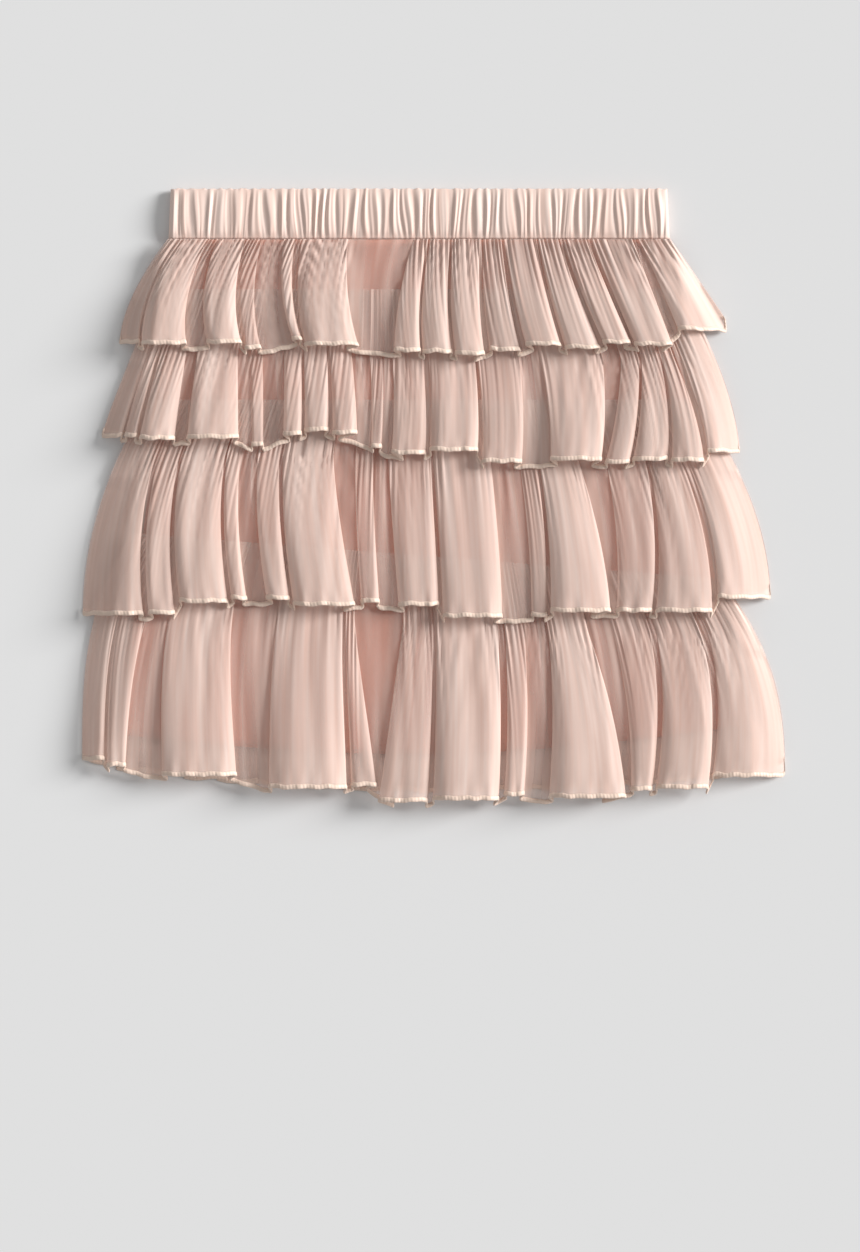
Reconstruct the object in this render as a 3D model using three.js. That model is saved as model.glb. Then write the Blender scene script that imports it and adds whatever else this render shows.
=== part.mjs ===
// A child's skirt of four gathered chiffon flounces on an A-line lining, with an elastic
// waistband, laid flat on its back.
//
// X runs across the skirt, Y runs up towards the waistband and Z rises from the surface that
// the skirt lies on. Every length is in millimetres. The back pieces lie lowest, with their
// outer faces down; the lining's two panels lie between them and the front pieces.

import * as THREE from "three";

// ---------------------------------------------------------------- driving dimensions

const CLOTH = 1;          // thickness of one layer of cloth
const SEAM_GAP = 0.3;     // clearance between pieces that are sewn or lie together
const LAYER = CLOTH + SEAM_GAP;

// The waistband is a gathered casing. Its ridges rise from the front face only.
const WAISTBAND = {
  topY: 147.5,
  seamY: 123.5,
  topLeft: -126.3,
  topRight: 112.3,
  seamLeft: -127.4,
  seamRight: 113.5,
  thickness: 2.6,
  ridges: 58,
  ridgeHeight: 0.6,
};

// The lining narrows from its hem to the waistband.
const LINING = {
  topLeft: -124,
  topRight: 110,
  hemLeft: -150,
  hemRight: 147,
  hemLeftY: -115,
  hemRightY: -111,
  hemSag: 11,
  levelY: 108,            // where the panels reach their own level, below the waistband seam
};

// Heights of the undersides of the layers, from the surface up.
const BACK_COVER_Z = LAYER;                        // back flounce, where the tier above lies under it
const BACK_LINING_Z = 2 * LAYER;
const FRONT_LINING_Z = 3 * LAYER;
const FRONT_WAIST_Z = WAISTBAND.thickness + SEAM_GAP;
const FRONT_SEAM_Z = 4 * LAYER;                    // front flounce, where it is sewn to the lining
const FRONT_HEM_Z = FRONT_SEAM_Z + LAYER + 0.6;    // front flounce, where it hangs over the next

// Each flounce: the two ends of its seam and of its hem, how far down the tier above
// covers it (a share of its length), how strongly each side bows outwards (1 is
// straight), and the height of its lower edge's underside. On the right, flounce 3 reaches
// out as far as flounce 2, whose side rests on it there. Flounce 4 reaches past the lining's
// hem, and settles towards the surface from there on (also a share of its length).
const FLOUNCES = [
  {
    name: "flounce_1",
    seam: { left: -127.4, leftY: 123.2, right: 113.5, rightY: 123.2 },
    hem: { left: -151, leftY: 75, right: 141, rightY: 85, sag: -2 },
    cover: 0.3,
    bow: { left: 1.7, right: 1.05 },
    seamZ: 4.5,
    hemZ: FRONT_HEM_Z,
    covered: false,
    rest: { left: LAYER, right: LAYER },
    cloth: 0xe7b6a2,
  },
  {
    name: "flounce_2",
    seam: { left: -131.6, leftY: 99, right: 118.6, rightY: 99 },
    hem: { left: -159.5, leftY: 31, right: 147, rightY: 22.5, sag: 6 },
    cover: 0.5,
    bow: { left: 1.1, right: 1.6 },
    seamZ: FRONT_SEAM_Z,
    hemZ: FRONT_HEM_Z,
    covered: true,
    rest: { left: LAYER, right: 3 * LAYER },
    cloth: 0xe3ae99,
  },
  {
    name: "flounce_3",
    seam: { left: -137, leftY: 46, right: 126.5, rightY: 46 },
    hem: { left: -168.7, leftY: -56, right: 162, rightY: -44.5, sag: 5 },
    cover: 0.37,
    bow: { left: 2, right: 1.8 },
    seamZ: FRONT_SEAM_Z,
    hemZ: FRONT_HEM_Z,
    covered: true,
    rest: { left: LAYER, right: LAYER },
    cloth: 0xe0a892,
  },
  {
    name: "flounce_4",
    seam: { left: -145, leftY: -18, right: 137.6, rightY: -40 },
    hem: { left: -169, leftY: -126, right: 169, rightY: -128, sag: 15 },
    cover: 0.33,
    bow: { left: 3, right: 2.3 },
    seamZ: FRONT_SEAM_Z,
    hemZ: 3 * LAYER,
    settle: 0.88,
    covered: true,
    rest: { left: LAYER, right: LAYER },
    cloth: 0xdda28c,
  },
];

// The largest folds of each front flounce, measured along its hem: where the fold starts and
// ends across the skirt, how low its hem reaches, and how high it stands.
//               [left,   right,  hemY,   lift]
const FOLDS = {
  flounce_1: [
    [-140, -117.5, 72, 4.5],
    [-108.5, -90, 73, 5],
    [-67.5, -35.5, 72, 5],
    [-19.5, 8.5, 68, 4.5],
    [9.5, 23.5, 67, 4],
    [42, 79.5, 70.5, 4.5],
    [80.5, 114, 72, 4.5],
  ],
  flounce_2: [
    [-148, -124.5, 27, 4.5],
    [-118.5, -92.5, 27, 5.5],
    [-72, -36.5, 29, 5.5],
    [-20.5, 21.5, 20, 5],
    [22.5, 42, 15.5, 3.5],
    [56, 93, 16, 5],
    [94, 129, 16, 4],
  ],
  flounce_3: [
    [-155, -123, -57.5, 4],
    [-121.5, -88.5, -51, 5],
    [-79.5, -36.5, -53, 6],
    [-17, 3, -53.5, 4],
    [4, 53, -58.5, 5],
    [54, 85, -56.5, 5],
    [86, 133, -56.5, 4.5],
  ],
  flounce_4: [
    [-130.5, -93, -135.5, 5],
    [-79.5, -40, -140.5, 6],
    [-27.5, -3, -147, 4.5],
    [-2, 31.5, -146, 6],
    [54, 104, -144, 5.5],
    [105, 150, -140, 4.5],
  ],
};

const VALLEY_DROP = 2.5;     // the hem reaches lower in the valleys between the folds
const COVERED_LIFT = 0.1;    // share of a fold's height that is left under the tier above
const EDGE_ROLL = 4;         // beyond the lining's edge, where a flounce starts to turn down
const EDGE_REACH = 11;       // and how far it must reach out to turn all the way down
const EDGE_COLUMNS = [0, 3, 8, 13, 18, 24];    // columns this far in from each side of the hem

// ---------------------------------------------------------------- small helpers

const { lerp, clamp, smoothstep } = THREE.MathUtils;

// A closed wall between an upper and a lower grid of points of the same size. Rows run
// down the skirt (Y falls), and columns run across it (X rises).
function wallBetween(upper, lower) {
  const rows = upper.length;
  const columns = upper[0].length;
  const positions = [...upper.flat(), ...lower.flat()].flatMap((point) => point.toArray());
  const faces = [];
  const top = (row, column) => row * columns + column;
  const bottom = (row, column) => rows * columns + row * columns + column;
  const quad = (a, b, c, d) => faces.push(a, b, c, a, c, d);

  for (let row = 0; row < rows - 1; row += 1) {
    for (let column = 0; column < columns - 1; column += 1) {
      quad(top(row + 1, column), top(row + 1, column + 1), top(row, column + 1), top(row, column));
      quad(
        bottom(row, column), bottom(row, column + 1),
        bottom(row + 1, column + 1), bottom(row + 1, column),
      );
    }
  }
  for (let column = 0; column < columns - 1; column += 1) {
    quad(top(0, column), top(0, column + 1), bottom(0, column + 1), bottom(0, column));
    const last = rows - 1;
    quad(bottom(last, column), bottom(last, column + 1), top(last, column + 1), top(last, column));
  }
  for (let row = 0; row < rows - 1; row += 1) {
    quad(top(row + 1, 0), top(row, 0), bottom(row, 0), bottom(row + 1, 0));
    const last = columns - 1;
    quad(bottom(row + 1, last), bottom(row, last), top(row, last), top(row + 1, last));
  }

  const geometry = new THREE.BufferGeometry();
  geometry.setAttribute("position", new THREE.Float32BufferAttribute(positions, 3));
  geometry.setIndex(faces);
  geometry.computeVertexNormals();
  return geometry;
}

// The wall that stands on a grid of underside points: straight up on level stretches,
// and higher where the cloth slopes, so that it keeps its thickness.
function wallOn(underside, thickness) {
  const upper = underside.map((row) => row.map((point, column) => {
    const before = row[Math.max(column - 1, 0)];
    const after = row[Math.min(column + 1, row.length - 1)];
    const slope = (after.z - before.z) / (after.x - before.x);
    return new THREE.Vector3(point.x, point.y, point.z + thickness * Math.hypot(1, slope));
  }));
  return wallBetween(upper, underside);
}

function piece(name, geometry, color, roughness) {
  const material = new THREE.MeshStandardMaterial({ color, roughness, metalness: 0 });
  const mesh = new THREE.Mesh(geometry, material);
  mesh.name = name;
  return mesh;
}

const evenSteps = (count) => Array.from({ length: count + 1 }, (_, step) => step / count);

// ---------------------------------------------------------------- lining

// Half-way marks down the lining, and its two sides at a height.
function liningSide(y, side) {
  const share = clamp((WAISTBAND.seamY - y) / (WAISTBAND.seamY - LINING.hemLeftY), 0, 1);
  return side === "left"
    ? lerp(LINING.topLeft, LINING.hemLeft, share)
    : lerp(LINING.topRight, LINING.hemRight, share);
}

// One lining panel. Its top edge lies at seamZ, in the waistband seam, and the rest at levelZ.
function liningPanel(seamZ, levelZ) {
  const topY = WAISTBAND.seamY - SEAM_GAP;
  const underside = [0, 1, 2, 3, 4].map((row) => evenSteps(12).map((share) => {
    const sag = LINING.hemSag * Math.sin(Math.PI * share);
    const hemY = lerp(LINING.hemLeftY, LINING.hemRightY, share) - sag;
    const y = row === 0 ? topY : lerp(LINING.levelY, hemY, (row - 1) / 3);
    const x = lerp(liningSide(y, "left"), liningSide(y, "right"), share);
    return new THREE.Vector3(x, y, row === 0 ? seamZ : levelZ);
  }));
  return wallOn(underside, CLOTH);
}

// ---------------------------------------------------------------- flounces

// Rows down a flounce, as shares of its length.
function flounceRows({ cover, settle }) {
  const below = 1 - cover;
  const rows = [0, cover / 2, cover, cover + below / 3, 1 - below / 3, 1];
  return settle ? [...rows.slice(0, -1), settle, 1] : rows;
}

// Where a point lies across and along the skirt: share is its place across, from the left
// side to the right, and down is how far it is from the seam to the hem.
function flouncePlace(flounce, share, down, hemY) {
  const { seam, hem, bow } = flounce;
  const seamX = lerp(seam.left, seam.right, share);
  const hemX = lerp(hem.left, hem.right, share);
  const seamY = lerp(seam.leftY, seam.rightY, share);
  const bowing = 1 - Math.pow(1 - down, lerp(bow.left, bow.right, share));
  return { x: lerp(seamX, hemX, bowing), y: lerp(seamY, hemY, down) };
}

// Underside height of a back flounce: raised where the tier above lies below it.
function backHeight(flounce, down) {
  return flounce.covered && down <= flounce.cover ? BACK_COVER_Z : 0;
}

function backFlounce(flounce) {
  const underside = flounceRows(flounce).map((down) => evenSteps(18).map((share) => {
    const { leftY, rightY, sag } = flounce.hem;
    const hemY = lerp(leftY, rightY, share) - sag * Math.sin(Math.PI * share);
    const { x, y } = flouncePlace(flounce, share, down, hemY);
    return new THREE.Vector3(x, y, backHeight(flounce, down));
  }));
  return wallOn(underside, CLOTH);
}

// The columns of a front flounce, from its fold table: place across the hem, hem height
// and lift. Each fold has five columns, each valley has one, and the sides have a few.
function frontColumns(flounce) {
  const { hem } = flounce;
  const folds = FOLDS[flounce.name];
  const [firstLeft, , firstY] = folds[0];
  const [, lastRight, lastY] = folds.at(-1);
  const leftSide = EDGE_COLUMNS
    .filter((inset) => hem.left + inset < firstLeft - 2)
    .map((inset) => {
      const y = lerp(hem.leftY, firstY, inset / (firstLeft - hem.left));
      return { x: hem.left + inset, y, lift: 0 };
    });
  const rightSide = EDGE_COLUMNS
    .filter((inset) => hem.right - inset > lastRight + 2)
    .map((inset) => {
      const y = lerp(hem.rightY, lastY, inset / (hem.right - lastRight));
      return { x: hem.right - inset, y, lift: 0 };
    })
    .reverse();
  const columns = [...leftSide];
  folds.forEach(([left, right, y, lift], index) => {
    const profile = [[0.02, 0], [0.2, 0.8], [0.5, 1], [0.8, 0.8], [0.98, 0]];
    profile.forEach(([across, height]) => {
      columns.push({ x: lerp(left, right, across), y, lift: lift * height });
    });
    const next = folds[index + 1];
    if (next && next[0] - right > 6) {
      const valleyY = (y + next[2]) / 2 - VALLEY_DROP;
      columns.push({ x: (right + next[0]) / 2, y: valleyY, lift: 0 });
    }
  });
  return [...columns, ...rightSide];
}

// How far a point has turned down towards the surface, from 0 on the lining to 1 at the
// outer edge, and how far the edge itself turns there.
function edgeTurn(x, y, edgeX, side) {
  const lining = liningSide(y, side);
  const outwards = side === "left" ? -1 : 1;
  const reach = (edgeX - lining) * outwards;
  const out = (x - lining) * outwards;
  const turned = clamp((out - EDGE_ROLL) / Math.max(reach - EDGE_ROLL, 0.1), 0, 1);
  return Math.pow(turned, 1.4) * clamp((reach - EDGE_ROLL) / EDGE_REACH, 0, 1);
}

function frontFlounce(flounce) {
  const { hem, seamZ, hemZ, cover, covered, settle } = flounce;
  const nextRow = cover + (1 - cover) / 3;
  const rise = settle ? [settle, 1] : covered ? [cover, nextRow] : [0, cover];
  const columns = frontColumns(flounce);
  const underside = flounceRows(flounce).map((down) => columns.map((column) => {
    const share = (column.x - hem.left) / (hem.right - hem.left);
    const { x, y } = flouncePlace(flounce, share, down, column.y);
    const side = share < 0.5 ? "left" : "right";
    const edgeY = side === "left" ? hem.leftY : hem.rightY;
    const edgeX = flouncePlace(flounce, side === "left" ? 0 : 1, down, edgeY).x;
    const turn = edgeTurn(x, y, edgeX, side);
    const risen = COVERED_LIFT + (1 - COVERED_LIFT) * smoothstep(down, cover, 1);
    const opening = down === 0 ? 0 : risen;
    const level = lerp(seamZ, hemZ, smoothstep(down, ...rise));
    const resting = Math.max(backHeight(flounce, down) + LAYER, flounce.rest[side]);
    return new THREE.Vector3(x, y, lerp(level + column.lift * opening, resting, turn));
  }));
  return wallOn(underside, CLOTH);
}

// ---------------------------------------------------------------- waistband

// The back of the waistband is level; the front has a row of gathered ridges. The seam
// edge and the top edge are each a little thinner than the middle.
function waistband(undersideZ, ridges, ridgeHeight) {
  const { topY, seamY, topLeft, topRight, seamLeft, seamRight, thickness } = WAISTBAND;
  const shares = evenSteps(ridges * 2);
  const levels = [0, 0.5, 1];
  const underside = levels.map((down) => shares.map((share) => new THREE.Vector3(
    lerp(lerp(topLeft, seamLeft, down), lerp(topRight, seamRight, down), share),
    lerp(topY, seamY, down),
    undersideZ,
  )));
  const upper = underside.map((row) => row.map((point, column) => {
    const ridge = column % 2 === 1 ? ridgeHeight : 0;
    return new THREE.Vector3(point.x, point.y, undersideZ + thickness + ridge);
  }));
  return wallBetween(upper, underside);
}

// ---------------------------------------------------------------- the skirt

const WAISTBAND_COLOR = 0xe9bca8;
const LINING_COLOR = 0xd78c78;
const CHIFFON_ROUGHNESS = 0.75;
const LINING_ROUGHNESS = 0.6;

const skirt = new THREE.Group();

skirt.add(piece(
  "waistband_back", waistband(0, 12, 0), WAISTBAND_COLOR, CHIFFON_ROUGHNESS,
));
skirt.add(piece(
  "waistband_front", waistband(FRONT_WAIST_Z, WAISTBAND.ridges, WAISTBAND.ridgeHeight),
  WAISTBAND_COLOR, CHIFFON_ROUGHNESS,
));
skirt.add(piece(
  "lining_back", liningPanel(LAYER, BACK_LINING_Z), LINING_COLOR, LINING_ROUGHNESS,
));
skirt.add(piece(
  "lining_front", liningPanel(FRONT_WAIST_Z + SEAM_GAP, FRONT_LINING_Z),
  LINING_COLOR, LINING_ROUGHNESS,
));
for (const flounce of FLOUNCES) {
  skirt.add(piece(`${flounce.name}_back`, backFlounce(flounce), flounce.cloth, CHIFFON_ROUGHNESS));
  skirt.add(piece(`${flounce.name}_front`, frontFlounce(flounce), flounce.cloth, CHIFFON_ROUGHNESS));
}

export default skirt;
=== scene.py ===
import math
from collections import namedtuple

import bpy
import numpy as np
from bpy.props import FloatProperty, FloatVectorProperty, PointerProperty
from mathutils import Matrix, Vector


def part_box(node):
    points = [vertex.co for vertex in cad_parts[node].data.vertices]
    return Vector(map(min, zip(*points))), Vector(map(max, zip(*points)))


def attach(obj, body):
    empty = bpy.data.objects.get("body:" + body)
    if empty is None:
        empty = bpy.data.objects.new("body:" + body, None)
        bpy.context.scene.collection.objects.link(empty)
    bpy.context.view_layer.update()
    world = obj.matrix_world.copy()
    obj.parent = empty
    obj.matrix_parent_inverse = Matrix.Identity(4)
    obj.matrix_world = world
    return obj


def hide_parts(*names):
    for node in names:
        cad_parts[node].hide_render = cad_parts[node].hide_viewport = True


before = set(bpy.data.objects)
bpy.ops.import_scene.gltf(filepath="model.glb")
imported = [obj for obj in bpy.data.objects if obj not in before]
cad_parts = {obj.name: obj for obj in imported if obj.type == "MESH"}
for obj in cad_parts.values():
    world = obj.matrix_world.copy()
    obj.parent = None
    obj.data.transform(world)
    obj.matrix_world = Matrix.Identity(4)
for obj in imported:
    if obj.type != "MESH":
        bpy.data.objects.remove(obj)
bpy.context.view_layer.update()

bl_info = {
    "name": "Flounced Skirt",
    "version": (1, 0, 0),
    "blender": (4, 5, 0),
    "location": "View3D > Sidebar > Skirt",
    "description": "Models a chiffon skirt of four flounces, laid flat",
    "category": "Add Mesh",
}

MM = 0.001

# ---------------------------------------------------------------- the cut and its folds
# Every length in these tables is in millimetres, in the skirt's own frame.

WAIST_LOW, WAIST_HIGH = [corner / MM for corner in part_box("waistband_front")]
BACK_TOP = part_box("waistband_back")[1].z / MM

# Each flounce: the ends of its seam and hem, how far down the tier above covers it (a
# share of its length), how strongly its sides bow out, and the heights of its level
# part at the seam and at the hem.
Tier = namedtuple(
    "Tier", "seam_left seam_left_y seam_right seam_right_y hem_left hem_left_y"
    " hem_right hem_right_y cover bow_left bow_right seam_z hem_z rest_left rest_right",
)
TIERS = {
    1: Tier(-127.4, 123.2, 113.5, 123.2, -151, 75, 141, 85, 0.0, 1.7, 1.05, 4.9, 7.6, 1.6, 1.6),
    2: Tier(-131.6, 99, 118.6, 99, -159.5, 31, 147, 22.5, 0.4, 1.1, 1.6, 5.4, 7.6, 1.6, 4.2),
    3: Tier(-137, 46, 126.5, 46, -168.7, -56, 162, -44.5, 0.27, 2.0, 1.8, 5.4, 7.6, 1.6, 1.6),
    4: Tier(-145, -18, 137.6, -40, -169, -126, 169, -128, 0.28, 3.0, 2.3, 5.4, 4.4, 1.6, 1.6),
}

# The folds of each front flounce, from left to right: the fold's two sides and height of
# the hem there, how high it stands, its two sides where it comes out from under the tier
# above, how far its sides are turned under, and how much cloth is gathered into it.
Fold = namedtuple("Fold", "left right hem_y lift top_left top_right tuck_left tuck_right full")
FOLDS = {
    1: (
        Fold(-151.0, -140.5, 73.0, 4, -130.0, -125.5, 1, 1, 0.55),
        Fold(-140.0, -117.5, 72.0, 6, -125.0, -110.5, 1, 3, 0.8),
        Fold(-108.5, -91.5, 72.5, 6, -106.5, -92.5, 1, 1, 0.6),
        Fold(-90.0, -82.5, 70.0, 3, -91.5, -84.5, 0, 1, 0.45),
        Fold(-67.5, -63.0, 74.0, 5, -74.0, -68.5, 2, 1, 0.6),
        Fold(-62.0, -35.5, 71.5, 7, -65.5, -42.5, 1, 6, 0.75),
        Fold(-19.5, -6.5, 68.5, 5.5, -11.5, -4.5, 3, 1, 0.7),
        Fold(-6.0, 8.5, 68.0, 5, -3.5, 6.5, 1, 1, 0.75),
        Fold(9.5, 24.0, 67.0, 6, 7.5, 21.0, 1, 5, 0.8),
        Fold(26.0, 41.0, 69.0, 3.5, 22.0, 31.0, 1, 1, 0.45),
        Fold(43.0, 60.5, 71.5, 6, 32.5, 47.0, 4, 1, 0.75),
        Fold(62.0, 79.0, 70.0, 5.5, 48.0, 58.5, 1, 2, 0.7),
        Fold(80.0, 93.5, 72.5, 6, 59.5, 72.5, 2, 3, 0.7),
        Fold(95.0, 113.5, 71.5, 6, 74.0, 94.5, 2, 5, 0.8),
        Fold(115.5, 140.0, 79.0, 4, 97.5, 112.5, 1, 1, 0.85),
    ),
    2: (
        Fold(-159.5, -149.0, 28.0, 4, -141.5, -135.0, 1, 1, 0.5),
        Fold(-148.0, -142.0, 28.0, 4, -134.5, -130.0, 1, 1, 0.45),
        Fold(-141.0, -123.5, 26.5, 5.5, -129.0, -117.0, 1, 1, 0.7),
        Fold(-118.5, -92.5, 27.0, 7, -112.0, -93.0, 2, 3, 0.85),
        Fold(-87.0, -81.5, 23.5, 2.5, -87.0, -81.5, 0, 0, 0.3),
        Fold(-72.0, -63.0, 28.5, 6, -71.5, -63.5, 3, 1, 0.75),
        Fold(-62.0, -50.0, 30.5, 5, -62.5, -51.5, 1, 2, 0.65),
        Fold(-48.5, -36.5, 29.0, 7, -50.5, -40.0, 1, 9, 0.75),
        Fold(-30.0, -25.0, 22.5, 3, -31.5, -25.5, 1, 1, 0.4),
        Fold(-20.5, -3.5, 19.5, 5.5, -21.0, -6.5, 6, 1, 0.55),
        Fold(-2.5, 21.5, 21.0, 6, -4.5, 17.5, 1, 1, 0.7),
        Fold(22.5, 42.5, 15.5, 5, 19.0, 39.0, 1, 4, 0.6),
        Fold(55.0, 80.5, 16.5, 7, 48.0, 78.0, 4, 5, 0.85),
        Fold(81.5, 93.5, 15.0, 5.5, 86.0, 94.5, 1, 2, 0.6),
        Fold(94.5, 112.0, 16.5, 5, 95.5, 104.5, 1, 1, 0.6),
        Fold(113.0, 129.5, 16.0, 5.5, 105.5, 111.0, 1, 1, 0.7),
        Fold(130.5, 147.0, 20.5, 4, 112.5, 129.5, 1, 1, 0.8),
    ),
    3: (
        Fold(-168.0, -137.0, -57.5, 4, -146.5, -128.5, 1, 3, 0.45),
        Fold(-135.5, -122.5, -57.0, 5, -127.0, -117.0, 2, 1, 0.5),
        Fold(-121.0, -97.0, -51.5, 6.5, -115.5, -95.0, 1, 1, 0.85),
        Fold(-96.0, -88.5, -50.0, 5, -94.0, -87.5, 1, 2, 0.6),
        Fold(-79.5, -68.0, -50.0, 6, -79.5, -69.0, 3, 1, 0.7),
        Fold(-67.0, -36.5, -53.0, 8, -67.5, -43.0, 1, 6, 0.85),
        Fold(-34.5, -25.5, -51.5, 3, -33.0, -24.5, 1, 1, 0.35),
        Fold(-17.0, 3.0, -53.0, 5, -17.5, 3.0, 3, 1, 0.5),
        Fold(4.0, 33.5, -58.5, 7, 4.5, 32.0, 1, 4, 0.85),
        Fold(46.5, 54.0, -58.0, 3, 45.0, 53.5, 1, 1, 0.45),
        Fold(55.0, 85.0, -56.0, 8, 54.5, 73.5, 2, 10, 0.9),
        Fold(86.5, 104.0, -56.0, 5, 86.0, 105.5, 1, 1, 0.5),
        Fold(105.0, 133.0, -56.0, 6, 106.5, 122.5, 1, 1, 0.75),
        Fold(134.5, 161.5, -49.5, 4, 124.0, 145.5, 1, 1, 0.8),
    ),
    4: (
        Fold(-168.5, -157.0, -127.0, 5, -160.5, -149.5, 1, 1, 0.6),
        Fold(-156.0, -147.0, -130.0, 3.5, -148.5, -135.5, 1, 1, 0.4),
        Fold(-130.5, -93.0, -134.5, 7, -126.5, -96.0, 3, 4, 0.8),
        Fold(-79.5, -40.5, -140.5, 8, -76.0, -44.0, 2, 2, 0.85),
        Fold(-39.5, -27.0, -139.5, 4, -42.5, -38.5, 1, 5, 0.35),
        Fold(-27.0, -2.5, -147.0, 6, -15.5, -0.5, 8, 1, 0.4),
        Fold(-1.0, 32.0, -146.0, 8, 0.5, 30.5, 1, 3, 0.95),
        Fold(33.5, 43.5, -144.0, 5, 33.5, 43.0, 1, 2, 0.6),
        Fold(54.0, 93.0, -145.0, 8, 54.0, 74.0, 3, 12, 0.9),
        Fold(94.0, 104.5, -141.5, 6, 85.0, 103.5, 1, 1, 0.6),
        Fold(105.5, 131.5, -140.5, 6.5, 106.0, 128.0, 1, 1, 0.75),
        Fold(132.5, 169.0, -135.0, 4, 130.5, 153.5, 1, 1, 0.8),
    ),
}

LINING_SIDES = {"left": (-124.0, -150.0), "right": (110.0, 147.0)}   # at top and hem
LINING_HEM = {"left": -115.0, "right": -111.0, "sag": 11.0}
BACK_SAG = {1: -1.5, 2: 6.5, 3: 5.5, 4: 15.2}   # how far a back hem hangs at its middle
WIDE_VALLEY = 4.0          # a gap between folds this wide is a flat panel
VALLEY_DROP = 2.6          # the hem lies lower in the valleys between folds
COVERED_LIFT = 0.16        # share of a fold's height left where the tier above covers it
EDGE_ROLL = 4.0            # past the lining's edge, where a flounce starts to turn down
EDGE_REACH = 11.0          # how far out it has to reach to turn all the way down
SAMPLES_PER_STEP = 6       # columns between two points of a fold's section
FLOUNCE_ROWS = 40
PLEATS = 24                # pleats across a back flounce
PLEAT_DEPTH = 0.42         # how far a pleat doubles back, as a share of its width


class SkirtSizes(bpy.types.PropertyGroup):
    """Sizes that a maker may change."""

    cloth: FloatProperty(
        name="Chiffon", description="Thickness of the chiffon", default=0.00025, unit="LENGTH")
    lining: FloatProperty(
        name="Lining", description="Thickness of the lining", default=0.0004, unit="LENGTH")
    hem: FloatProperty(
        name="Rolled hem", description="Width of the rolled hem", default=0.0024, unit="LENGTH")
    gather: FloatProperty(
        name="Gathers", description="Depth of the gathers at a seam", default=0.00125, unit="LENGTH")
    ridge: FloatProperty(
        name="Waist ridges", description="Height of the ridges of the waistband",
        default=0.0012, unit="LENGTH")


class SkirtColours(bpy.types.PropertyGroup):
    """Colours that a maker may change."""

    chiffon: FloatVectorProperty(
        name="Chiffon", description="Colour of the chiffon", subtype="COLOR", size=3,
        default=(0.93, 0.79, 0.72), min=0, max=1)
    chiffon_deep: FloatVectorProperty(
        name="Chiffon, deep", description="Colour of the chiffon in its darker streaks",
        subtype="COLOR", size=3, default=(0.84, 0.57, 0.47), min=0, max=1)
    lining: FloatVectorProperty(
        name="Lining", description="Colour of the lining", subtype="COLOR", size=3,
        default=(0.56, 0.19, 0.115), min=0, max=1)
    thread: FloatVectorProperty(
        name="Thread", description="Colour of the hem thread", subtype="COLOR", size=3,
        default=(0.88, 0.68, 0.56), min=0, max=1)
    floor: FloatVectorProperty(
        name="Floor", description="Colour of the surface it lies on", subtype="COLOR", size=3,
        default=(0.75, 0.75, 0.75), min=0, max=1)


# ---------------------------------------------------------------- shaping cloth

def smooth(value, low, high):
    """0 below low, 1 above high, and a soft step between them."""
    share = np.clip((value - low) / (high - low), 0, 1)
    return share * share * (3 - 2 * share)


def through(points, per_step):
    """A smooth line through rows of numbers, with per_step samples between two of them."""
    points = np.asarray(points, float)
    before = np.vstack([2 * points[0] - points[1], points[:-1]])
    after = np.vstack([points[1:], 2 * points[-1] - points[-2]])
    slope = (after - before) / 2
    t = (np.arange(per_step) / per_step)[None, :, None]
    a, b = points[:-1, None, :], points[1:, None, :]
    m, n = slope[:-1, None, :] * 0.8, slope[1:, None, :] * 0.8
    line = ((2 * t**3 - 3 * t**2 + 1) * a + (t**3 - 2 * t**2 + t) * m
            + (-2 * t**3 + 3 * t**2) * b + (t**3 - t**2) * n)
    return np.vstack([line.reshape(-1, points.shape[1]), points[-1:]])


def gathers(x, pitch, phase):
    """Uneven little ridges across x, from about -1 to 1."""
    turn = 2 * math.pi * x / pitch
    return (0.55 * np.sin(turn + 1.4 * np.sin(turn / 5.3 + phase))
            + 0.3 * np.sin(turn * 1.63 + 1.7 * np.sin(turn / 3.1 + 2 * phase))
            + 0.15 * np.sin(turn * 0.47 + phase))


def section_points(folds, tier):
    """The section of a front flounce where it comes into sight and at its hem, point by
    point: x at the top, lift at the top, x at the hem, lift at the hem, hem height and
    how much cloth is gathered there."""
    across = (0.0, 0.03, 0.2, 0.5, 0.8, 0.97, 1.0)
    height = (0.0, 0.5, 0.93, 1.0, 0.93, 0.5, 0.0)
    points = []
    for index, fold in enumerate(folds):
        width = fold.right - fold.left
        top_width = fold.top_right - fold.top_left
        following = folds[index + 1] if index + 1 < len(folds) else None
        for place, share in zip(across, height):
            tuck = 0.0
            drop = 0.0
            if place == 0.0:
                tuck, drop = fold.tuck_left, VALLEY_DROP
            elif place == 1.0:
                tuck, drop = -fold.tuck_right, VALLEY_DROP
            points.append((
                fold.top_left + top_width * place, fold.lift * 0.45 * share,
                fold.left + width * place + tuck, fold.lift * share,
                fold.hem_y - drop, fold.full * (0.35 + 0.65 * (share > 0.4)),
            ))
        if following is not None and following.left - fold.right > WIDE_VALLEY:
            points.append((
                (fold.top_right + following.top_left) / 2, 0.2,
                (fold.right + following.left) / 2, 0.2,
                (fold.hem_y + following.hem_y) / 2 - VALLEY_DROP - 0.5, 0.12,
            ))
    points[0] = points[0][:4] + (tier.hem_left_y, points[0][5])
    points[-1] = points[-1][:4] + (tier.hem_right_y, points[-1][5])
    return points


def lining_edge(y, side):
    """Where the lining's side edge is, at a height."""
    share = np.clip((WAIST_LOW.y - y) / (WAIST_LOW.y - LINING_HEM["left"]), 0, 1)
    ends = LINING_SIDES[side]
    return ends[0] + (ends[1] - ends[0]) * share


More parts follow.
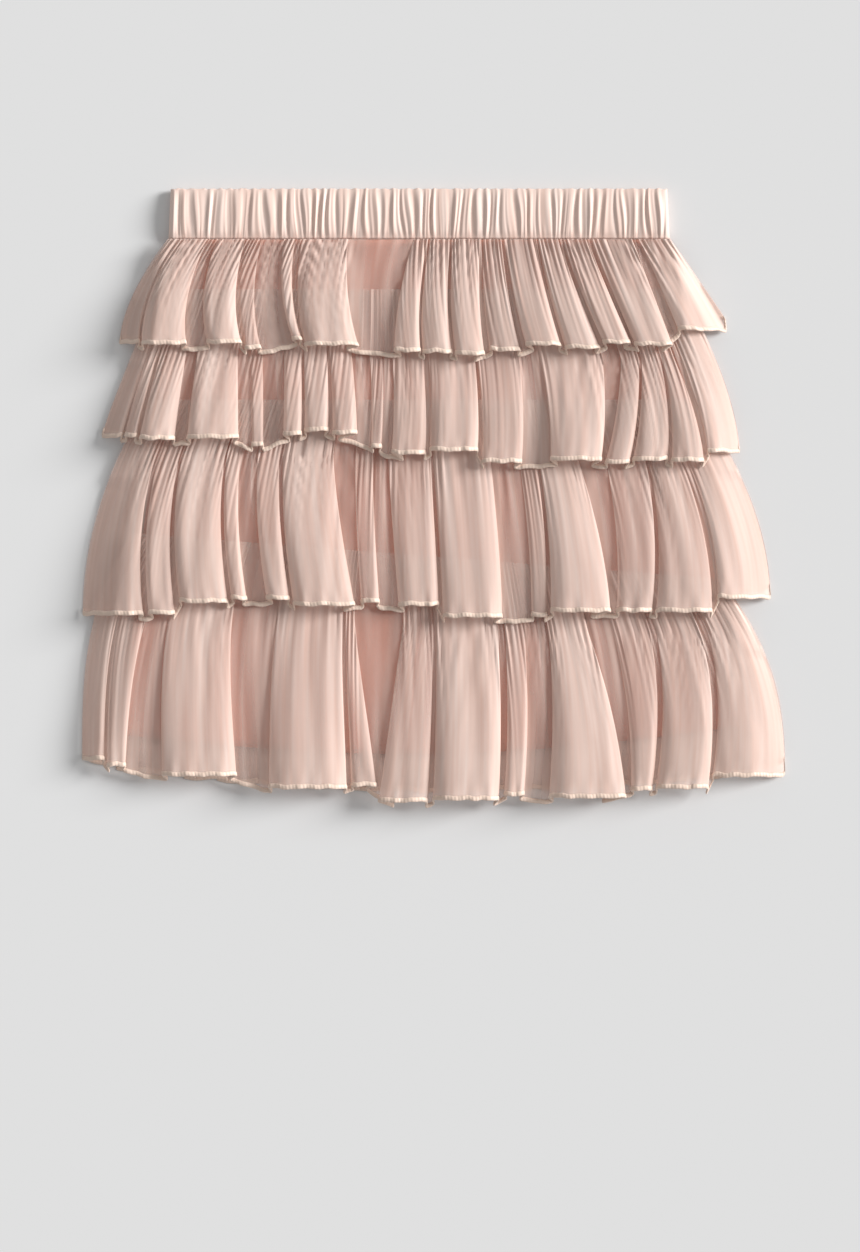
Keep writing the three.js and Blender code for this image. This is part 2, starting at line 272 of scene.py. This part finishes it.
def outline(tier, down, side):
    """Where a flounce's side edge is, so far down."""
    if side == "left":
        bow = 1 - (1 - down) ** tier.bow_left
        return tier.seam_left + (tier.hem_left - tier.seam_left) * bow
    bow = 1 - (1 - down) ** tier.bow_right
    return tier.seam_right + (tier.hem_right - tier.seam_right) * bow


def front_surface(number, gather):
    """The points of a front flounce in rows from seam to hem, with its fullness."""
    tier = TIERS[number]
    line = through(section_points(FOLDS[number], tier), SAMPLES_PER_STEP)
    top_x, top_lift, hem_x, hem_lift, hem_y, full = line.T
    down = np.linspace(0, 1, FLOUNCE_ROWS)[:, None] ** 1.05
    opened = np.clip((down - tier.cover) / (1 - tier.cover), 0, 1)
    left, right = outline(tier, down, "left"), outline(tier, down, "right")
    x = top_x + (hem_x - top_x) * opened
    low, high = x.min(1, keepdims=True), x.max(1, keepdims=True)
    x = left + (x - low) / (high - low) * (right - left)
    share = (x - left) / (right - left)

    seam_y = tier.seam_left_y + (tier.seam_right_y - tier.seam_left_y) * share
    ripple = 0.45 * gathers(hem_x, 11.0, number) * smooth(down, 0.6, 1)
    y = seam_y + (hem_y + ripple - seam_y) * down

    rise = COVERED_LIFT * smooth(down, 0, max(tier.cover, 0.12))
    rise = rise + (1 - COVERED_LIFT) * opened ** 0.75
    lift = top_lift + (hem_lift - top_lift) * opened
    level = tier.seam_z + (tier.hem_z - tier.seam_z) * smooth(down, max(tier.cover, 0.05), 0.75)
    if number == 4:
        level = tier.seam_z + (tier.hem_z - tier.seam_z) * smooth(down, 0.86, 1)
    fold_z = level + lift * rise

    seam_x = tier.seam_left + share * (tier.seam_right - tier.seam_left)
    # Gathers fade to a third of their depth about 21 mm on, nearer or further in places.
    reach = 21 + 5 * np.sin(seam_x * 0.9) + 4 * np.sin(seam_x * 0.31)
    reach = reach / np.abs(hem_y - seam_y).mean()
    fine = gathers(seam_x, 2.0, 0.7 * number)
    fine = fine * np.exp(-np.maximum(down - 0.6 * tier.cover, 0) / reach)
    fold_z = fold_z + gather / MM * (1.0 + fine)
    fold_z = fold_z + 0.35 * gathers(seam_x, 13.0, number) * smooth(down, 0.1, 0.5)
    fold_z = fold_z + 0.5 * gathers(hem_x + 3 * down, 9.0, 2.0 * number) * smooth(down, 0.9, 1)

    turned = np.zeros_like(x)
    for side, edge, sign in (("left", left, -1), ("right", right, 1)):
        lining = lining_edge(y, side)
        span = (edge - lining) * sign
        out = (x - lining) * sign
        amount = np.clip((out - EDGE_ROLL) / np.maximum(span - EDGE_ROLL, 0.1), 0, 1) ** 1.4
        turned = np.maximum(turned, amount * np.clip((span - EDGE_ROLL) / EDGE_REACH, 0, 1))
    rest = np.where(share < 0.5, tier.rest_left, tier.rest_right)
    rest = np.where((number > 1) & (down <= tier.cover + 0.1), np.maximum(rest, 3.2), rest)
    z = fold_z + (rest - fold_z) * turned
    points = np.stack([x, y, z], axis=2) * MM
    return points, np.broadcast_to(full, x.shape)


def back_surface(number):
    """The points of a back flounce, pressed flat under the rest, with its fullness."""
    tier = TIERS[number]
    share = np.linspace(0, 1, 460)[None, :]
    down = np.linspace(0, 1, 20)[:, None]
    left, right = outline(tier, down, "left"), outline(tier, down, "right")
    # The cloth doubles back on itself in uneven pleats. Its height follows how far it
    # is carried back, so the layers of a pleat lie over each other and never cross.
    pleat = share + 0.012 * np.sin(6 * math.pi * share + number)
    pleat = pleat + 0.006 * np.sin(14 * math.pi * share + 2 * number)
    pleat = (pleat - pleat[:, :1]) / (pleat[:, -1:] - pleat[:, :1])
    carried = np.sin(2 * math.pi * PLEATS * pleat)
    carried = carried * smooth(np.minimum(share, 1 - share), 0, 0.05)
    x = left + 0.5 + (share - PLEAT_DEPTH / PLEATS * carried) * (right - left - 1)
    hem_y = tier.hem_left_y + (tier.hem_right_y - tier.hem_left_y) * share
    hem_y = hem_y - BACK_SAG[number] * np.sin(math.pi * share) ** 0.6
    hem_y = hem_y + 1.1 * gathers(x[-1:], 23.0, number) * np.sin(math.pi * share) ** 0.5
    seam_y = tier.seam_left_y + (tier.seam_right_y - tier.seam_left_y) * share
    y = seam_y + (hem_y - seam_y) * down
    cover = tier.cover + 0.1 if number > 1 else -1
    level = 0.55 + 1.3 * (1 - smooth(down, cover, cover + 0.2))
    seam_x = tier.seam_left + share * (tier.seam_right - tier.seam_left)
    z = level - 0.4 * carried
    full = 0.5 + 0.3 * gathers(seam_x, 19.0, number) + 0 * down
    return np.stack([x, y, z], axis=2) * MM, np.clip(full, 0.1, 1)


def lining_surface(front):
    """One lining panel, nearly flat, with long shallow waves."""
    share = np.linspace(0, 1, 90)[None, :]
    down = np.linspace(0, 1, 60)[:, None]
    hem_y = LINING_HEM["left"] + (LINING_HEM["right"] - LINING_HEM["left"]) * share
    hem_y = hem_y - LINING_HEM["sag"] * np.sin(math.pi * share)
    top_y = WAIST_LOW.y - 0.3
    y = top_y + (hem_y - top_y) * down
    left, right = lining_edge(y, "left"), lining_edge(y, "right")
    x = left + share * (right - left)
    if front:
        level = 3.5 + 0.9 * smooth(down, 0, 0.07)
    else:
        level = 1.9 + 1.1 * smooth(down, 0, 0.07)
    wave = 0.22 * gathers(x, 37.0, 1.0 if front else 2.0) * smooth(down, 0.03, 0.4)
    return np.stack([x, y, level + wave], axis=2) * MM


def cloth_sheet(name, points, material, thickness, full=None):
    """A sheet of cloth through a grid of points, with its weave laid along it, as a thin
    closed shell."""
    rows, columns = points.shape[:2]
    index = np.arange(rows * columns).reshape(rows, columns)
    faces = np.stack([index[1:, :-1], index[1:, 1:], index[:-1, 1:], index[:-1, :-1]], axis=2)
    mesh = bpy.data.meshes.new(name)
    mesh.from_pydata(points.reshape(-1, 3).tolist(), [], faces.reshape(-1, 4).tolist())

    across = np.linalg.norm(np.diff(points[-1], axis=0), axis=1)
    across = np.concatenate([[0], np.cumsum(across)])
    middle = points[:, columns // 2]
    along = np.concatenate([[0], np.cumsum(np.linalg.norm(np.diff(middle, axis=0), axis=1))])
    lie = np.stack(np.meshgrid(across, along), axis=2).reshape(-1, 2)
    corners = np.zeros(len(mesh.loops), int)
    mesh.loops.foreach_get("vertex_index", corners)
    layer = mesh.uv_layers.new(name="cut")
    layer.data.foreach_set("uv", lie[corners].ravel())

    if full is not None:
        fullness = mesh.attributes.new("fullness", "FLOAT", "POINT")
        fullness.data.foreach_set("value", np.asarray(full, float).ravel())
    mesh.shade_smooth()
    mesh.materials.append(material)
    sheet = bpy.data.objects.new(name, mesh)
    bpy.context.scene.collection.objects.link(sheet)
    shell = sheet.modifiers.new("thickness", "SOLIDIFY")
    shell.thickness = thickness
    shell.offset = 0
    return sheet


def rolled_hem(name, points, width, material, pitch=1.7):
    """The overlocked edge of a flounce: a narrow band of thread that follows the hem,
    with a ridge for each stitch."""
    edge, inside = points[-1], points[-3]
    step = np.concatenate([[0], np.cumsum(np.linalg.norm(np.diff(edge, axis=0), axis=1))])
    count = int(step[-1] / (0.42 * MM))
    at = np.linspace(0, step[-1], count)
    line = np.stack([np.interp(at, step, edge[:, axis]) for axis in range(3)], axis=1)
    inner = np.stack([np.interp(at, step, inside[:, axis]) for axis in range(3)], axis=1)
    up = inner - line
    up /= np.linalg.norm(up, axis=1, keepdims=True)
    along = np.gradient(line, axis=0)
    along /= np.linalg.norm(along, axis=1, keepdims=True) + 1e-9
    out = np.cross(along, up)
    out /= np.linalg.norm(out, axis=1, keepdims=True) + 1e-9
    around = 8
    ring = []
    for corner in range(around):
        angle = 2 * math.pi * corner / around
        slant = 2 * math.pi * at / (pitch * MM) + 1.2 * math.cos(angle)
        stitch = 1 + 0.22 * np.sin(slant)
        bead = 1.0 + 0.35 * (math.cos(angle) < -0.5)
        centre = line + up * width * 0.46
        offset = (up * (width / 2 * math.cos(angle))
                  + out * (0.42 * MM * bead * math.sin(angle)) * stitch[:, None])
        ring.append(centre + offset)
    ring = np.stack(ring, axis=1)
    ring[:, :, 2] = np.maximum(ring[:, :, 2], 0.0001)
    index = np.arange(count * around).reshape(count, around)
    beside = np.roll(index, -1, axis=1)
    faces = np.stack([index[:-1], beside[:-1], beside[1:], index[1:]], axis=2).reshape(-1, 4)
    ends = [index[0][::-1].tolist(), index[-1].tolist()]
    mesh = bpy.data.meshes.new(name)
    mesh.from_pydata(ring.reshape(-1, 3).tolist(), [], faces.tolist() + ends)
    mesh.shade_smooth()
    mesh.materials.append(material)
    hem = bpy.data.objects.new(name, mesh)
    bpy.context.scene.collection.objects.link(hem)
    return hem


# ---------------------------------------------------------------- materials

def new_group(name, inputs, outputs):
    """An empty shader group with named sockets, and its two end nodes."""
    group = bpy.data.node_groups.new(name, "ShaderNodeTree")
    for label, default in inputs.items():
        socket = group.interface.new_socket(label, in_out="INPUT", socket_type="NodeSocketFloat")
        socket.default_value = default
    for label in outputs:
        group.interface.new_socket(label, in_out="OUTPUT", socket_type="NodeSocketFloat")
    return group, group.nodes.new("NodeGroupInput"), group.nodes.new("NodeGroupOutput")


def streak_group():
    """Streaks that run down the cloth, where more or less of it lies underneath."""
    if "cloth_streaks" in bpy.data.node_groups:
        return bpy.data.node_groups["cloth_streaks"]
    group, start, end = new_group(
        "cloth_streaks", {"Across": 95.0, "Along": 7.0, "Sharpness": 0.35}, ["Streak", "Fine"])
    nodes, links = group.nodes, group.links
    place = nodes.new("ShaderNodeUVMap")
    place.uv_map = "cut"
    split = nodes.new("ShaderNodeSeparateXYZ")
    links.new(place.outputs["UV"], split.inputs[0])

    def stretched(across_factor, along_factor):
        across = nodes.new("ShaderNodeMath")
        across.operation = "MULTIPLY"
        across_rate = nodes.new("ShaderNodeMath")
        across_rate.operation = "MULTIPLY"
        across_rate.inputs[1].default_value = across_factor
        along = nodes.new("ShaderNodeMath")
        along.operation = "MULTIPLY"
        along_rate = nodes.new("ShaderNodeMath")
        along_rate.operation = "MULTIPLY"
        along_rate.inputs[1].default_value = along_factor
        links.new(start.outputs["Across"], across_rate.inputs[0])
        links.new(start.outputs["Along"], along_rate.inputs[0])
        links.new(split.outputs["X"], across.inputs[0])
        links.new(across_rate.outputs[0], across.inputs[1])
        links.new(split.outputs["Y"], along.inputs[0])
        links.new(along_rate.outputs[0], along.inputs[1])
        joined = nodes.new("ShaderNodeCombineXYZ")
        links.new(across.outputs[0], joined.inputs["X"])
        links.new(along.outputs[0], joined.inputs["Y"])
        noise = nodes.new("ShaderNodeTexNoise")
        noise.inputs["Scale"].default_value = 1.0
        noise.inputs["Detail"].default_value = 2.0
        links.new(joined.outputs[0], noise.inputs["Vector"])
        return noise

    wide, fine = stretched(1.0, 1.0), stretched(4.3, 1.6)
    low = nodes.new("ShaderNodeMath")
    low.operation = "SUBTRACT"
    low.inputs[0].default_value = 0.52
    half = nodes.new("ShaderNodeMath")
    half.operation = "MULTIPLY"
    half.inputs[1].default_value = 0.4
    links.new(start.outputs["Sharpness"], half.inputs[0])
    links.new(half.outputs[0], low.inputs[1])
    high = nodes.new("ShaderNodeMath")
    high.operation = "ADD"
    high.inputs[0].default_value = 0.52
    links.new(half.outputs[0], high.inputs[1])
    step = nodes.new("ShaderNodeMapRange")
    step.interpolation_type = "SMOOTHSTEP"
    links.new(wide.outputs["Fac"], step.inputs["Value"])
    links.new(low.outputs[0], step.inputs["From Min"])
    links.new(high.outputs[0], step.inputs["From Max"])
    links.new(step.outputs["Result"], end.inputs["Streak"])
    links.new(fine.outputs["Fac"], end.inputs["Fine"])
    return group


def weave_group():
    """Height of a plain weave: fine threads across and along the cloth."""
    if "plain_weave" in bpy.data.node_groups:
        return bpy.data.node_groups["plain_weave"]
    group, start, end = new_group("plain_weave", {"Threads": 2200.0}, ["Height"])
    nodes, links = group.nodes, group.links
    place = nodes.new("ShaderNodeUVMap")
    place.uv_map = "cut"
    height = nodes.new("ShaderNodeMath")
    height.operation = "ADD"
    for slot, direction in enumerate(("X", "Y")):
        threads = nodes.new("ShaderNodeTexWave")
        threads.bands_direction = direction
        threads.inputs["Distortion"].default_value = 0.6
        links.new(start.outputs["Threads"], threads.inputs["Scale"])
        links.new(place.outputs["UV"], threads.inputs["Vector"])
        links.new(threads.outputs["Fac"], height.inputs[slot])
    links.new(height.outputs[0], end.inputs["Height"])
    return group


def group_node(tree, group, **values):
    """A group placed in a material, with its own values."""
    node = tree.nodes.new("ShaderNodeGroup")
    node.node_tree = group
    for label, value in values.items():
        node.inputs[label].default_value = value
    return node


def cloth_material(name, light, deep, roughness, sheen):
    """The common start of every cloth: streaked colour, weave and sheen."""
    material = bpy.data.materials.new(name)
    material.use_nodes = True
    tree = material.node_tree
    shader = tree.nodes["Principled BSDF"]
    shader.inputs["Roughness"].default_value = roughness
    shader.inputs["Sheen Weight"].default_value = sheen
    shader.inputs["Sheen Roughness"].default_value = 0.4
    shader.inputs["Sheen Tint"].default_value = (1.0, 0.9, 0.85, 1)
    shader.inputs["Specular IOR Level"].default_value = 0.25
    streaks = group_node(tree, streak_group())
    tint = tree.nodes.new("ShaderNodeMix")
    tint.data_type = "RGBA"
    tint.inputs[6].default_value = (*deep, 1)
    tint.inputs[7].default_value = (*light, 1)
    tree.links.new(streaks.outputs["Fine"], tint.inputs["Factor"])
    tree.links.new(tint.outputs[2], shader.inputs["Base Color"])
    weave = group_node(tree, weave_group())
    bump = tree.nodes.new("ShaderNodeBump")
    bump.inputs["Strength"].default_value = 0.12
    bump.inputs["Distance"].default_value = 0.0001
    tree.links.new(weave.outputs["Height"], bump.inputs["Height"])
    tree.links.new(bump.outputs["Normal"], shader.inputs["Normal"])
    return material, tree, shader, streaks


def chiffon_material(colours):
    """Sheer chiffon: it shows what lies under it, and less so where more cloth is
    gathered into a fold."""
    if "chiffon" in bpy.data.materials:
        return bpy.data.materials["chiffon"]
    material, tree, shader, streaks = cloth_material(
        "chiffon", colours.chiffon, colours.chiffon_deep, 0.6, 0.35)
    fullness = tree.nodes.new("ShaderNodeAttribute")
    fullness.attribute_name = "fullness"
    thin = tree.nodes.new("ShaderNodeMath")
    thin.operation = "MULTIPLY_ADD"
    thin.inputs[1].default_value = 0.42
    thin.inputs[2].default_value = 0.13
    tree.links.new(fullness.outputs["Fac"], thin.inputs[0])
    streaked = tree.nodes.new("ShaderNodeMath")
    streaked.operation = "MULTIPLY_ADD"
    streaked.inputs[1].default_value = 0.22
    tree.links.new(streaks.outputs["Streak"], streaked.inputs[0])
    tree.links.new(thin.outputs[0], streaked.inputs[2])
    tree.links.new(streaked.outputs[0], shader.inputs["Alpha"])
    return material


def plain_material(name, light, deep, roughness, sheen):
    """Cloth that doesn't show what is under it."""
    if name in bpy.data.materials:
        return bpy.data.materials[name]
    return cloth_material(name, light, deep, roughness, sheen)[0]


def thread_material(colours):
    """Overlock thread, with small changes of tone along it."""
    if "hem_thread" in bpy.data.materials:
        return bpy.data.materials["hem_thread"]
    material = bpy.data.materials.new("hem_thread")
    material.use_nodes = True
    tree = material.node_tree
    shader = tree.nodes["Principled BSDF"]
    shader.inputs["Roughness"].default_value = 0.5
    shader.inputs["Sheen Weight"].default_value = 0.3
    place = tree.nodes.new("ShaderNodeTexCoord")
    noise = tree.nodes.new("ShaderNodeTexNoise")
    noise.inputs["Scale"].default_value = 420.0
    tint = tree.nodes.new("ShaderNodeMix")
    tint.data_type = "RGBA"
    tint.inputs[6].default_value = (*[c * 0.75 for c in colours.thread], 1)
    tint.inputs[7].default_value = (*colours.thread, 1)
    tree.links.new(place.outputs["Object"], noise.inputs["Vector"])
    tree.links.new(noise.outputs["Fac"], tint.inputs["Factor"])
    tree.links.new(tint.outputs[2], shader.inputs["Base Color"])
    return material


def place_piece(piece, slot, *nodes):
    """Ties a piece to the skirt's body and hides the solids it stands for; the slot, its finish, is
    not used.
    """
    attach(piece, "root")
    if nodes:
        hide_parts(*nodes)


# ---------------------------------------------------------------- the pieces

class SKIRT_OT_lining(bpy.types.Operator):
    """Add the two lining panels"""

    bl_idname = "skirt.lining"
    bl_label = "Lining"

    def execute(self, context):
        sizes, colours = context.scene.skirt_sizes, context.scene.skirt_colours
        deep = [c * 0.8 for c in colours.lining]
        material = plain_material("lining", colours.lining, deep, 0.7, 0.15)
        for side in ("front", "back"):
            panel = cloth_sheet(
                f"lining_{side}_panel", lining_surface(side == "front"), material, sizes.lining)
            place_piece(panel, "lining_cloth", f"lining_{side}")
        return {"FINISHED"}


class SKIRT_OT_flounces(bpy.types.Operator):
    """Add the four gathered flounces, front and back, with their rolled hems"""

    bl_idname = "skirt.flounces"
    bl_label = "Flounces"

    def execute(self, context):
        sizes, colours = context.scene.skirt_sizes, context.scene.skirt_colours
        chiffon, thread = chiffon_material(colours), thread_material(colours)
        for number in TIERS:
            # Front and back are strips of one width, the front hem laid out straight.
            # Each is as long as it is modelled, down its middle.
            for side in ("front", "back"):
                if side == "front":
                    points, full = front_surface(number, sizes.gather)
                else:
                    points, full = back_surface(number)
                name = f"flounce_{number}_{side}"
                flounce = cloth_sheet(f"{name}_cloth", points, chiffon, sizes.cloth, full)
                place_piece(flounce, "flounce_chiffon", name)
                hem = rolled_hem(f"{name}_hem", points, sizes.hem, thread)
                place_piece(hem, "flounce_chiffon")
        return {"FINISHED"}


class SKIRT_OT_waistband(bpy.types.Operator):
    """Add the gathered waistband, front and back"""

    bl_idname = "skirt.waistband"
    bl_label = "Waistband"

    def execute(self, context):
        sizes, colours = context.scene.skirt_sizes, context.scene.skirt_colours
        light = [c * 0.86 for c in colours.chiffon]
        material = plain_material("waistband", light, colours.chiffon_deep, 0.5, 0.4)
        top, bottom = WAIST_HIGH.y, WAIST_LOW.y
        for side in ("front", "back"):
            down = np.linspace(0, 1, 30)[:, None]
            share = np.linspace(0, 1, 900)[None, :]
            left = -126.3 - 1.1 * down
            right = 112.3 + 1.2 * down
            x = left + share * (right - left)
            ridge = sizes.ridge / MM
            # The ridges lean a little, are wider at the left, and double near the seam.
            lean = x + 1.3 * np.sin(x * 0.11) * down + 0.6 * np.sin(x * 0.37 + 3 * down)
            spread = np.where(lean < -67, 0.72, 1.0)
            wide = gathers(lean * spread, 4.9, 0.4)
            fine = gathers(lean, 2.5, 1.9) * (0.25 + 0.6 * smooth(down, 0.62, 1))
            height = ridge * (0.55 * wide + 0.3 * fine)
            hold = np.sqrt(np.clip(np.sin(math.pi * np.clip(down, 0.015, 0.985)), 0, 1))
            hold = hold * (1 - 0.35 * smooth(down, 0.85, 1))
            thick = (WAIST_HIGH.z - WAIST_LOW.z) - ridge * 0.5
            y = top + (bottom - top) * down
            y = y + 0.35 * gathers(x, 4.9, 0.4) * (1 - smooth(down, 0, 0.1))
            sides = np.clip(np.minimum(share, 1 - share) * 120, 0.05, 1) ** 0.5
            rise = (0.35 + 0.65 * hold) * (thick * sides) + height * hold * sides
            if side == "front":
                outer = WAIST_LOW.z + rise
                inner = np.full_like(outer, WAIST_LOW.z)
                loops = np.stack([x, y, outer], axis=2), np.stack([x, y, inner], axis=2)
            else:
                outer = np.full_like(x, BACK_TOP)
                inner = np.maximum(BACK_TOP - rise, 0.02)
                loops = np.stack([x, y, outer], axis=2), np.stack([x, y, inner], axis=2)
            band = closed_band(f"waistband_{side}_casing", loops[0] * MM, loops[1] * MM, material)
            place_piece(band, "waistband_chiffon", f"waistband_{side}")
        return {"FINISHED"}


def closed_band(name, upper, lower, material):
    """A closed wall between two grids of points."""
    rows, columns = upper.shape[:2]
    top = np.arange(rows * columns).reshape(rows, columns)
    under = top + rows * columns

    def grid(a):
        return np.stack([a[1:, :-1], a[1:, 1:], a[:-1, 1:], a[:-1, :-1]], axis=2).reshape(-1, 4)

    faces = grid(top).tolist() + grid(under)[:, ::-1].tolist()
    rim = np.concatenate([top[0, :-1], top[:-1, -1], top[-1, :0:-1], top[:0:-1, 0]])
    below = rim + rows * columns
    ahead, ahead_below = np.roll(rim, -1), np.roll(below, -1)
    faces += np.stack([rim, ahead, ahead_below, below], axis=1).tolist()
    mesh = bpy.data.meshes.new(name)
    both = np.vstack([upper.reshape(-1, 3), lower.reshape(-1, 3)])
    mesh.from_pydata(both.tolist(), [], faces)
    lie = both[:, :2]
    corners = np.zeros(len(mesh.loops), int)
    mesh.loops.foreach_get("vertex_index", corners)
    layer = mesh.uv_layers.new(name="cut")
    layer.data.foreach_set("uv", lie[corners].ravel())
    mesh.shade_smooth()
    mesh.materials.append(material)
    band = bpy.data.objects.new(name, mesh)
    bpy.context.scene.collection.objects.link(band)
    return band


class SKIRT_OT_stage(bpy.types.Operator):
    """Add the floor, the lights and the camera"""

    bl_idname = "skirt.stage"
    bl_label = "Stage"

    def execute(self, context):
        scene, colours = context.scene, context.scene.skirt_colours
        bpy.ops.object.select_all(action="DESELECT")
        bpy.ops.mesh.primitive_plane_add(size=12, location=(0, 0, 0))
        floor = context.object
        floor.name = "floor"
        ground = bpy.data.materials.new("floor")
        ground.use_nodes = True
        shader = ground.node_tree.nodes["Principled BSDF"]
        shader.inputs["Base Color"].default_value = (*colours.floor, 1)
        shader.inputs["Roughness"].default_value = 0.9
        shader.inputs["Specular IOR Level"].default_value = 0.0
        floor.data.materials.append(ground)

        world = bpy.data.worlds.new("studio")
        world.use_nodes = True
        world.node_tree.nodes["Background"].inputs["Color"].default_value = (1, 1, 1, 1)
        world.node_tree.nodes["Background"].inputs["Strength"].default_value = 0.42
        scene.world = world
        key_data = bpy.data.lights.new("key", "SUN")
        key_data.energy = 4.8
        key_data.angle = math.radians(24)
        key = bpy.data.objects.new("key", key_data)
        towards = Vector((-1.0, -0.28, -0.42))
        key.rotation_euler = towards.to_track_quat("-Z", "Y").to_euler()
        scene.collection.objects.link(key)

        camera_data = bpy.data.cameras.new("camera")
        view_height = 0.601
        distance = 2.0
        camera_data.sensor_width = 36.0
        camera_data.lens = 36.0 * distance / view_height
        camera_data.clip_end = 20.0
        camera = bpy.data.objects.new("camera", camera_data)
        camera.location = (-0.0017, -0.0626, distance + 0.006)
        scene.collection.objects.link(camera)
        scene.camera = camera
        scene.view_settings.view_transform = "Standard"
        scene.cycles.transparent_max_bounces = 32
        return {"FINISHED"}


class SKIRT_PT_panel(bpy.types.Panel):
    """The skirt's sizes, colours and pieces"""

    bl_label = "Flounced Skirt"
    bl_idname = "SKIRT_PT_panel"
    bl_space_type = "VIEW_3D"
    bl_region_type = "UI"
    bl_category = "Skirt"

    def draw(self, context):
        for group in (context.scene.skirt_sizes, context.scene.skirt_colours):
            for label in group.__annotations__:
                self.layout.prop(group, label)
        for operator in OPERATORS:
            self.layout.operator(operator.bl_idname)


OPERATORS = (SKIRT_OT_lining, SKIRT_OT_flounces, SKIRT_OT_waistband, SKIRT_OT_stage)
CLASSES = (SkirtSizes, SkirtColours, *OPERATORS, SKIRT_PT_panel)


def register():
    for entry in CLASSES:
        bpy.utils.register_class(entry)
    bpy.types.Scene.skirt_sizes = PointerProperty(type=SkirtSizes)
    bpy.types.Scene.skirt_colours = PointerProperty(type=SkirtColours)


def unregister():
    del bpy.types.Scene.skirt_colours
    del bpy.types.Scene.skirt_sizes
    for entry in reversed(CLASSES):
        bpy.utils.unregister_class(entry)


def main():
    register()
    bpy.ops.skirt.lining()
    bpy.ops.skirt.flounces()
    bpy.ops.skirt.waistband()
    bpy.ops.skirt.stage()


if __name__ == "__main__":
    main()
